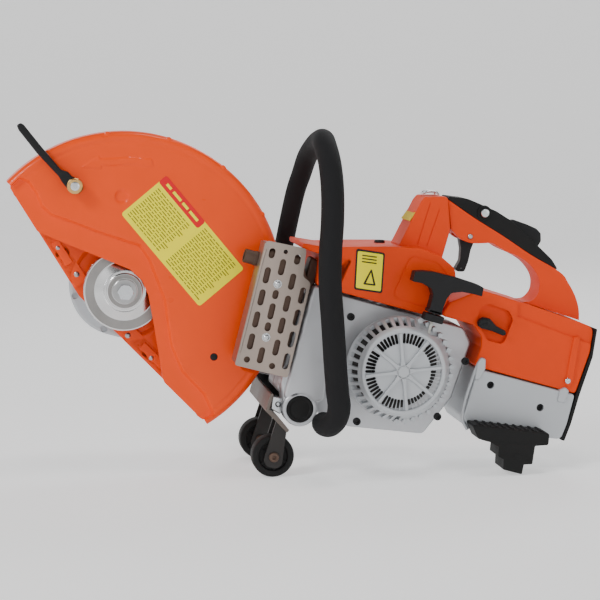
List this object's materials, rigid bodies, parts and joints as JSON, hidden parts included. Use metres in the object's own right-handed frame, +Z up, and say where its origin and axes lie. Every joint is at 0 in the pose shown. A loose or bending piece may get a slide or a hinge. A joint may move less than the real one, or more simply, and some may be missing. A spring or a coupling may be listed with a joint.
{
  "type": "petrol cut-off saw",
  "caption": "Hand-held petrol cut-off saw with a large swinging disc guard, recoil starter, loop front handle, trigger rear handle and small guide wheels.",
  "frame": {"origin": "on the floor under the middle of the saw's bounding box, standing on its two wheels and rear foot", "axes": "+X from the guard to the rear handle, +Y from the starter side to the belt side, +Z up"},
  "size_m": [0.7042, 0.242, 0.4204],
  "materials": {
    "guard_orange": "glossy bright orange paint",
    "shell_orange": "satin moulded orange plastic",
    "cast_grey": "fine grained silver-grey casting",
    "cover_grey": "satin silver-grey moulding",
    "rubber_black": "matt black rubber and foam",
    "plastic_black": "satin black plastic",
    "steel": "machined steel",
    "zinc": "bright zinc plate",
    "stainless": "warm grey stainless sheet",
    "dark_steel": "heat-browned steel",
    "bracket_steel": "dark brown-grey steel",
    "belt_rubber": "ribbed belt rubber",
    "filter_foam": "open-cell filter foam",
    "ceramic": "white glazed insulator"
  },
  "bodies": {
    "saw": {"air_filter": "filter_foam", "belt_cover": "cast_grey", "bracket_clamp": "zinc", "carburettor": "cast_grey", "crankcase_left": "cast_grey", "crankcase_right": "cast_grey", "cutting_arm": "cast_grey", "cylinder": "cast_grey", "drive_belt": "belt_rubber", "exhaust_pipe": "dark_steel", "far_axle_bolt": "zinc", "filter_tower": "shell_orange", "front_handle": "rubber_black", "handle_grip": "rubber_black", "lower_rear_cover": "cast_grey", "lug_plug": "rubber_black", "muffler": "dark_steel", "muffler_shield": "stainless", "near_axle_bolt": "zinc", "rear_foot": "rubber_black", "rear_gasket": "rubber_black", "rear_handle": "shell_orange", "rear_tank": "shell_orange", "rope_guide": "plastic_black", "shield_screw_lower": "zinc", "shield_screw_upper": "zinc", "spark_plug": "ceramic", "spindle_bearing": "steel", "starter_cover": "cover_grey", "top_cover": "shell_orange", "trigger_pin": "steel", "wheel_bracket": "bracket_steel"},
    "guard": {"guard_outer": "guard_orange", "guard_inner": "guard_orange", "guard_lever": "rubber_black", "guard_lever_bolt": "zinc", "guard_lever_nut": "zinc"},
    "spindle": {"spindle_shaft": "steel", "spindle_pulley": "steel", "inner_flange": "zinc", "outer_flange": "zinc", "spindle_bolt": "zinc"},
    "drum": {"clutch_drum": "steel"},
    "crank": {"crankshaft": "steel", "crankshaft_left": "steel", "flywheel": "cast_grey", "clutch_hub": "steel"},
    "piston_rod": {"piston": "steel", "con_rod": "steel"},
    "reel": {"starter_reel": "plastic_black"},
    "pull_handle": {"starter_handle": "plastic_black"},
    "trigger": {"trigger": "plastic_black"},
    "lockout": {"throttle_lockout": "plastic_black"},
    "start_lock": {"start_lock_button": "steel"},
    "choke": {"choke_lever": "plastic_black"},
    "fuel_cap": {"fuel_cap": "plastic_black"},
    "decompression": {"decompression_valve": "plastic_black"},
    "latch": {"filter_latch": "plastic_black"},
    "near_wheel": {"near_wheel": "rubber_black"},
    "far_wheel": {"far_wheel": "rubber_black"}
  },
  "joints": [
    {"name": "guard_swing", "type": "hinge", "parent": "saw", "child": "guard", "pos_m": [-0.21499, 0.01793, 0.21975], "axis": [0, 1, 0], "range_deg": [-30, 30]},
    {"name": "spindle_spin", "type": "hinge", "parent": "saw", "child": "spindle", "pos_m": [-0.21499, 0.01793, 0.21975], "axis": [0, 1, 0], "continuous": true},
    {"name": "drum_spin", "type": "hinge", "parent": "saw", "child": "drum", "pos_m": [0.10346, 0.01793, 0.12948], "axis": [0, 1, 0], "continuous": true},
    {"name": "crank_spin", "type": "hinge", "parent": "saw", "child": "crank", "pos_m": [0.10346, 0.01793, 0.12948], "axis": [0, 1, 0], "continuous": true},
    {"name": "piston_stroke", "type": "slide", "parent": "saw", "child": "piston_rod", "axis": [-0.2419, 0, 0.9703], "range_m": [-0.034, 0]},
    {"name": "starter_pull", "type": "slide", "parent": "saw", "child": "pull_handle", "axis": [0.2756, 0, 0.9613], "range_m": [0, 0.5], "stiffness_N_per_m": 16},
    {"name": "reel_turn", "type": "hinge", "parent": "saw", "child": "reel", "pos_m": [0.10346, -0.07707, 0.12948], "axis": [0, 1, 0], "range_deg": [-1440, 0]},
    {"name": "trigger_pull", "type": "hinge", "parent": "saw", "child": "trigger", "pos_m": [0.19825, -0.01207, 0.28227], "axis": [0, -1, 0], "range_deg": [0, 12], "stiffness_Nm_per_rad": 0.6},
    {"name": "lockout_press", "type": "hinge", "parent": "saw", "child": "lockout", "pos_m": [0.25252, -0.01207, 0.29376], "axis": [0, 1, 0], "range_deg": [0, 6], "stiffness_Nm_per_rad": 0.6},
    {"name": "start_lock_press", "type": "slide", "parent": "saw", "child": "start_lock", "axis": [0, 1, 0], "range_m": [0, 0.0025], "stiffness_N_per_m": 800},
    {"name": "choke_turn", "type": "hinge", "parent": "saw", "child": "choke", "pos_m": [0.20859, -0.05907, 0.18047], "axis": [0, -1, 0], "range_deg": [0, 45]},
    {"name": "fuel_cap_turn", "type": "hinge", "parent": "saw", "child": "fuel_cap", "pos_m": [0.28494, 0.05193, 0.14922], "axis": [0, 1, 0], "range_deg": [0, 180]},
    {"name": "decompression_press", "type": "slide", "parent": "saw", "child": "decompression", "axis": [-0.0151, 0, -0.9999], "range_m": [0, 0.0025], "stiffness_N_per_m": 800},
    {"name": "latch_lift", "type": "hinge", "parent": "saw", "child": "latch", "pos_m": [0.16162, -0.01207, 0.3323], "axis": [0, 1, 0], "range_deg": [0, 60]},
    {"name": "near_wheel_spin", "type": "hinge", "parent": "saw", "child": "near_wheel", "pos_m": [-0.04498, -0.04207, 0.02536], "axis": [0, 1, 0], "continuous": true},
    {"name": "far_wheel_spin", "type": "hinge", "parent": "saw", "child": "far_wheel", "pos_m": [-0.04498, 0.06793, 0.02536], "axis": [0, 1, 0], "continuous": true}
  ],
  "couplings": [
    {"joint": "reel_turn", "follows": "starter_pull", "rad_per_m": -50},
    {"joint": "drum_spin", "follows": "spindle_spin", "ratio": 0.825}
  ]
}
